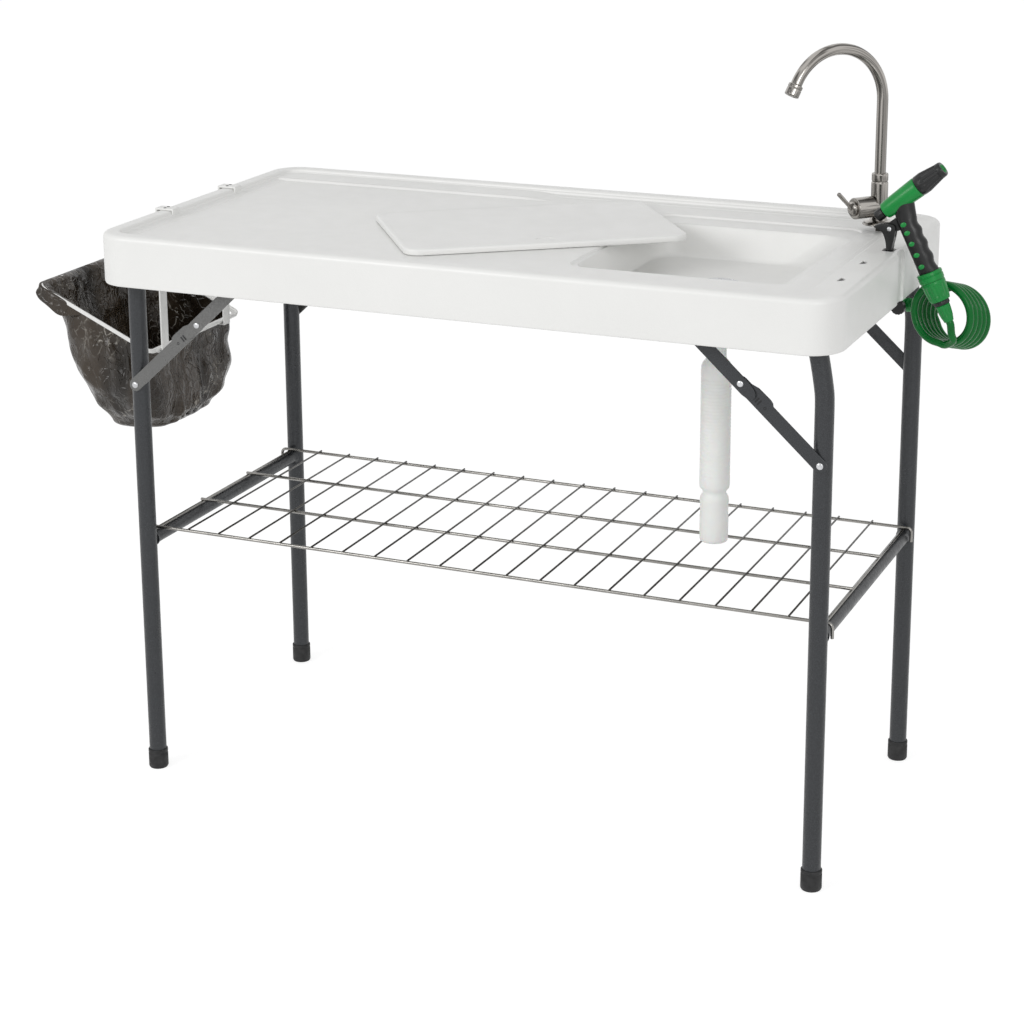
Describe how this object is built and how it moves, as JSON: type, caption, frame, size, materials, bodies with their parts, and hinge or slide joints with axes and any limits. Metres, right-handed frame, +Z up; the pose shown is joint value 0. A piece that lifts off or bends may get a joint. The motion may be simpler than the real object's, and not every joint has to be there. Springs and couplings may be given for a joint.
{
  "type": "fish cleaning table",
  "caption": "Folding white plastic fish cleaning table with moulded sink, swivel faucet, spray gun on a coiled hose, drain hose, wire shelf and side bag holder on hinged steel legs.",
  "frame": {"origin": "on the floor, under the middle of the object's bounding box without the hose", "axes": "+X along the table towards the sink and faucet, +Y to the back edge, +Z up"},
  "size_m": [1.4782, 0.608, 1.1454],
  "materials": {
    "white_plastic": "fine satin mould texture",
    "leg_paint": "dark grey hammered paint",
    "wire": "bright plated wire",
    "nickel": "brushed nickel",
    "zinc": "plain pressed steel",
    "black_plastic": "satin black",
    "green_plastic": "glossy green",
    "hose_plastic": "milky translucent",
    "bag_film": "shiny crumpled film",
    "foot_rubber": "dull black"
  },
  "bodies": {
    "top": {"table_top": "white_plastic", "drain_flange": "zinc", "drain_nut": "hose_plastic", "drain_hose": "hose_plastic", "left_saddle_front": "zinc", "left_saddle_back": "zinc", "right_saddle_front": "zinc", "right_saddle_back": "zinc", "left_brace_hanger_front": "leg_paint", "left_brace_hanger_back": "leg_paint", "right_brace_hanger_front": "leg_paint", "right_brace_hanger_back": "leg_paint", "faucet_body": "nickel", "faucet_shank_nut": "nickel", "gun_barrel": "green_plastic", "gun_handle": "black_plastic", "gun_collar": "green_plastic", "quick_connector": "green_plastic", "connector_ring": "black_plastic", "hose_nut": "green_plastic", "recoil_lead": "green_plastic", "recoil_coil": "green_plastic", "recoil_tail": "green_plastic", "supply_tube": "black_plastic", "hose_splitter": "green_plastic", "splitter_cap": "black_plastic"},
    "left_legs": {"left_leg_tube": "leg_paint", "left_crossbar": "leg_paint", "left_foot_front": "foot_rubber", "left_foot_back": "foot_rubber"},
    "left_upper_links": {"left_upper_link_front": "leg_paint", "left_upper_link_back": "leg_paint"},
    "left_lower_links": {"left_lower_link_front": "leg_paint", "left_lower_link_back": "leg_paint"},
    "right_legs": {"right_leg_tube": "leg_paint", "right_crossbar": "leg_paint", "right_foot_front": "foot_rubber", "right_foot_back": "foot_rubber"},
    "right_upper_links": {"right_upper_link_front": "leg_paint", "right_upper_link_back": "leg_paint"},
    "right_lower_links": {"right_lower_link_front": "leg_paint", "right_lower_link_back": "leg_paint"},
    "shelf_end": {"shelf_end_wire": "wire"},
    "shelf": {"shelf_grid": "wire"},
    "cover": {"sink_cover": "white_plastic"},
    "spout": {"faucet_spout": "nickel", "spout_aerator": "nickel"},
    "lever": {"valve_lever": "nickel"},
    "trigger": {"gun_trigger": "black_plastic"},
    "nozzle": {"gun_nozzle": "black_plastic"},
    "knob": {"gun_knob": "black_plastic"},
    "bag_holder": {"bag_ring": "white_plastic", "bag_hanger_front": "white_plastic", "bag_hanger_back": "white_plastic", "trash_bag": "bag_film"}
  },
  "joints": [
    {"name": "left_leg_fold", "type": "hinge", "parent": "top", "child": "left_legs", "pos_m": [-0.47098, 0, 0.837], "axis": [0, -1, 0], "range_deg": [0, 90]},
    {"name": "right_leg_fold", "type": "hinge", "parent": "top", "child": "right_legs", "pos_m": [0.58102, 0, 0.837], "axis": [0, 1, 0], "range_deg": [0, 90], "deforming": ["drain_hose"]},
    {"name": "left_upper_brace", "type": "hinge", "parent": "top", "child": "left_upper_links", "pos_m": [-0.25498, 0, 0.837], "axis": [0, -1, 0], "range_deg": [0, 138]},
    {"name": "left_lower_brace", "type": "hinge", "parent": "left_upper_links", "child": "left_lower_links", "pos_m": [-0.35673, 0, 0.74326], "axis": [0, 1, 0], "range_deg": [0, 181]},
    {"name": "right_upper_brace", "type": "hinge", "parent": "top", "child": "right_upper_links", "pos_m": [0.39502, 0, 0.837], "axis": [0, -1, 0], "range_deg": [0, 46]},
    {"name": "right_lower_brace", "type": "hinge", "parent": "right_upper_links", "child": "right_lower_links", "pos_m": [0.49677, 0, 0.74326], "axis": [0, 1, 0], "range_deg": [0, 170]},
    {"name": "shelf_end_draw", "type": "slide", "parent": "top", "child": "shelf_end", "axis": [0.9848, 0, 0.1738], "range_m": [0, 1.56]},
    {"name": "shelf_draw", "type": "slide", "parent": "shelf_end", "child": "shelf", "axis": [0.9998, 0, 0.0187], "range_m": [0, 1.45]},
    {"name": "sink_cover_lift", "type": "slide", "parent": "top", "child": "cover", "axis": [0, 0, 1], "range_m": [0, 0.25]},
    {"name": "spout_swivel", "type": "hinge", "parent": "top", "child": "spout", "pos_m": [0.56102, 0.2, 0.946], "axis": [0, 0, 1], "continuous": true},
    {"name": "valve_turn", "type": "hinge", "parent": "top", "child": "lever", "pos_m": [0.54392, 0.17911, 0.908], "axis": [-0.6334, -0.7738, 0], "range_deg": [-45, 45]},
    {"name": "trigger_squeeze", "type": "hinge", "parent": "top", "child": "trigger", "pos_m": [0.62302, 0.031, 0.912], "axis": [0, -1, 0], "range_deg": [0, 5], "stiffness_Nm_per_rad": 1, "springref_deg": -11.46},
    {"name": "nozzle_twist", "type": "hinge", "parent": "top", "child": "nozzle", "pos_m": [0.61402, 0.031, 0.936], "axis": [0.7705, 0, 0.6374], "range_deg": [-90, 90]},
    {"name": "knob_turn", "type": "hinge", "parent": "top", "child": "knob", "pos_m": [0.61402, 0.031, 0.936], "axis": [0.7705, 0, 0.6374], "range_deg": [0, 270]},
    {"name": "bag_holder_lift", "type": "slide", "parent": "top", "child": "bag_holder", "axis": [0, 0, 1], "range_m": [0, 0.2]}
  ],
  "couplings": [
    {"joint": "left_upper_brace", "follows": "left_leg_fold", "ratio": 1.5261},
    {"joint": "left_lower_brace", "follows": "left_leg_fold", "ratio": 2},
    {"joint": "right_upper_brace", "follows": "right_leg_fold", "ratio": 0.49944},
    {"joint": "right_lower_brace", "follows": "right_leg_fold", "ratio": 1.8783},
    {"joint": "shelf_end_draw", "follows": "right_leg_fold", "m_per_rad": 0.98908},
    {"joint": "shelf_draw", "follows": "left_leg_fold", "m_per_rad": 0.91689}
  ]
}
